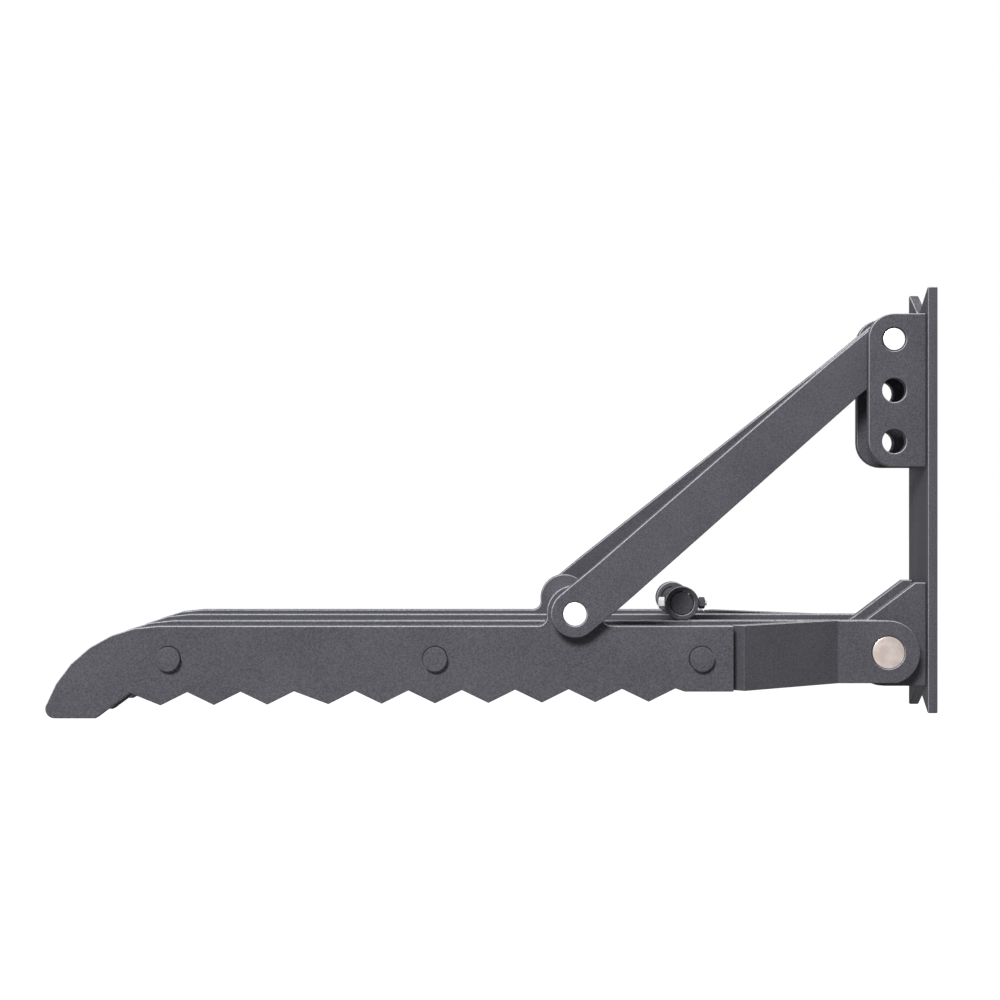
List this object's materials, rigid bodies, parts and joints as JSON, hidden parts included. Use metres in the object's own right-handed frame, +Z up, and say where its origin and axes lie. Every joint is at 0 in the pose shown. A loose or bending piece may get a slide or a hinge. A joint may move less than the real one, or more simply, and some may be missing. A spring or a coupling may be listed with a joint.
{
  "type": "excavator thumb",
  "caption": "Weld-on excavator thumb: a toothed tine frame swings on a pivot pin under a notched base plate, braced by joggled link bars pinned between drilled lugs.",
  "frame": {"origin": "centre of the base plate's weld face", "axes": "+X out of the weld face, towards the machine's stick; +Z up along the plate, from the pivot to the drilled lugs; the tine tips point to -X"},
  "size_m": [0.8595, 0.363, 0.4218],
  "materials": {
    "powder_coat": "fine-textured matt powder coat",
    "link_pin_steel": "turned bright steel",
    "pivot_pin_steel": "turned steel with a warm film",
    "bolt_steel": "zinc plate"
  },
  "bodies": {
    "root": {"base_plate": "powder_coat", "upper_lug_near": "powder_coat", "upper_lug_far": "powder_coat", "pivot_lug_near": "powder_coat", "pivot_lug_far": "powder_coat", "upper_link_pin_near_end": "link_pin_steel", "upper_link_pin_far_end": "link_pin_steel"},
    "tines": {"tine_outer_near": "powder_coat", "tine_outer_far": "powder_coat", "tine_inner_near": "powder_coat", "tine_inner_far": "powder_coat", "gusset_near": "powder_coat", "gusset_far": "powder_coat", "cross_rod_heel": "powder_coat", "cross_rod_middle": "powder_coat", "cross_rod_tip": "powder_coat", "stow_collar_near": "powder_coat", "stow_collar_far": "powder_coat", "stow_pin": "powder_coat", "stow_pin_bolt": "bolt_steel", "stow_pin_nut": "powder_coat", "main_pivot_pin": "pivot_pin_steel", "pivot_spacer_near": "powder_coat", "pivot_spacer_far": "powder_coat"},
    "link_pin": {"lower_link_pin": "link_pin_steel"},
    "link": {"link_bar_near": "powder_coat", "link_bar_far": "powder_coat", "upper_link_pin_middle": "link_pin_steel"}
  },
  "joints": [
    {"name": "tine_swing", "type": "hinge", "parent": "root", "child": "tines", "pos_m": [-0.0517, 0, -0.1496], "axis": [0, 1, 0], "range_deg": [-20.2, 69]},
    {"name": "pin_turn", "type": "hinge", "parent": "tines", "child": "link_pin", "pos_m": [-0.3632, 0, -0.1059], "axis": [0, -1, 0], "range_deg": [-21.3, 72.6]},
    {"name": "link_swing", "type": "hinge", "parent": "link_pin", "child": "link", "pos_m": [-0.3632, 0, -0.1059], "axis": [0, -1, 0], "range_deg": [0, 51]}
  ],
  "couplings": [
    {"joint": "pin_turn", "follows": "tine_swing", "ratio": 1.05}
  ]
}
